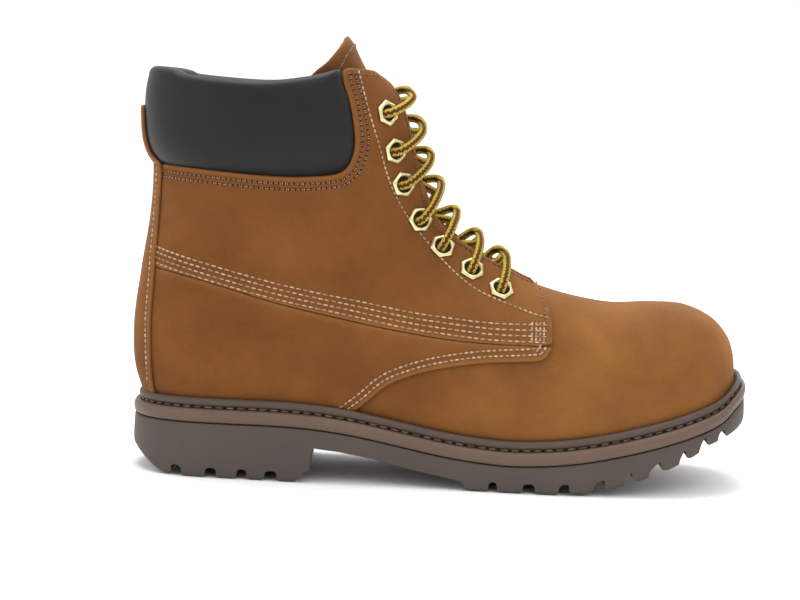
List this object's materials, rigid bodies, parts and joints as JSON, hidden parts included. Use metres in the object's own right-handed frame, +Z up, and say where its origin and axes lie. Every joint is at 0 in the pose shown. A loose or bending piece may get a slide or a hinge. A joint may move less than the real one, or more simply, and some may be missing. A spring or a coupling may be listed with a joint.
{
  "type": "steel toe work boot",
  "caption": "Right lace-up work boot with a steel toe cap, padded collar, hexagonal eyelets and a lugged rubber sole.",
  "frame": {"origin": "middle of the boot's footprint, on the ground under the treads", "axes": "+X to the toe, +Y to the inner (medial) side of the right foot, +Z up"},
  "size_m": [0.309, 0.1094, 0.2176],
  "materials": {
    "nubuck": "matt brushed nubuck, wheat",
    "collar_leather": "smooth soft black leather",
    "lining": "tan lining",
    "foam": "open foam",
    "counter": "moulded stiffener",
    "board": "pressed fibre board",
    "footbed": "moulded foam covered with cloth",
    "steel": "pressed steel",
    "outsole": "moulded rubber, satin",
    "midsole": "moulded rubber, satin",
    "welt": "moulded welt, satin",
    "edge_strip": "soft rubber strip",
    "eyelet": "pale polished brass",
    "lace": "round braid, yellow with a brown zigzag",
    "aglet": "clear brown tip",
    "thread": "waxed thread"
  },
  "bodies": {
    "boot": {"outsole": "outsole", "midsole": "midsole", "welt": "welt", "welt_thread": "thread", "insole_board": "board", "bottom_filler": "board", "steel_shank": "steel", "footbed": "footbed", "steel_toe_cap": "steel", "toe_cap_edge_strip": "edge_strip", "vamp": "nubuck", "vamp_lining": "lining", "quarter_upper_lateral": "nubuck", "quarter_upper_medial": "nubuck", "quarter_lower_lateral": "nubuck", "quarter_lower_medial": "nubuck", "facing_lateral": "nubuck", "facing_medial": "nubuck", "backstay": "nubuck", "collar_cover": "collar_leather", "collar_foam": "foam", "shaft_lining": "lining", "shaft_foam": "foam", "heel_counter": "counter", "gusset_lateral": "nubuck", "gusset_medial": "nubuck", "lace": "lace", "aglet_lateral": "aglet", "aglet_medial": "aglet", "eyelet_lateral_1": "eyelet", "eyelet_lateral_2": "eyelet", "eyelet_lateral_3": "eyelet", "eyelet_lateral_4": "eyelet", "eyelet_lateral_5": "eyelet", "eyelet_lateral_6": "eyelet", "eyelet_lateral_7": "eyelet", "eyelet_medial_1": "eyelet", "eyelet_medial_2": "eyelet", "eyelet_medial_3": "eyelet", "eyelet_medial_4": "eyelet", "eyelet_medial_5": "eyelet", "eyelet_medial_6": "eyelet", "eyelet_medial_7": "eyelet"},
    "tongue": {"tongue_leather": "nubuck", "tongue_padding": "lining"}
  },
  "joints": [
    {"name": "tongue_tilt", "type": "hinge", "parent": "boot", "child": "tongue", "pos_m": [0.04679, 0.00036, 0.085], "axis": [0, -1, 0], "range_deg": [0, 10]}
  ]
}
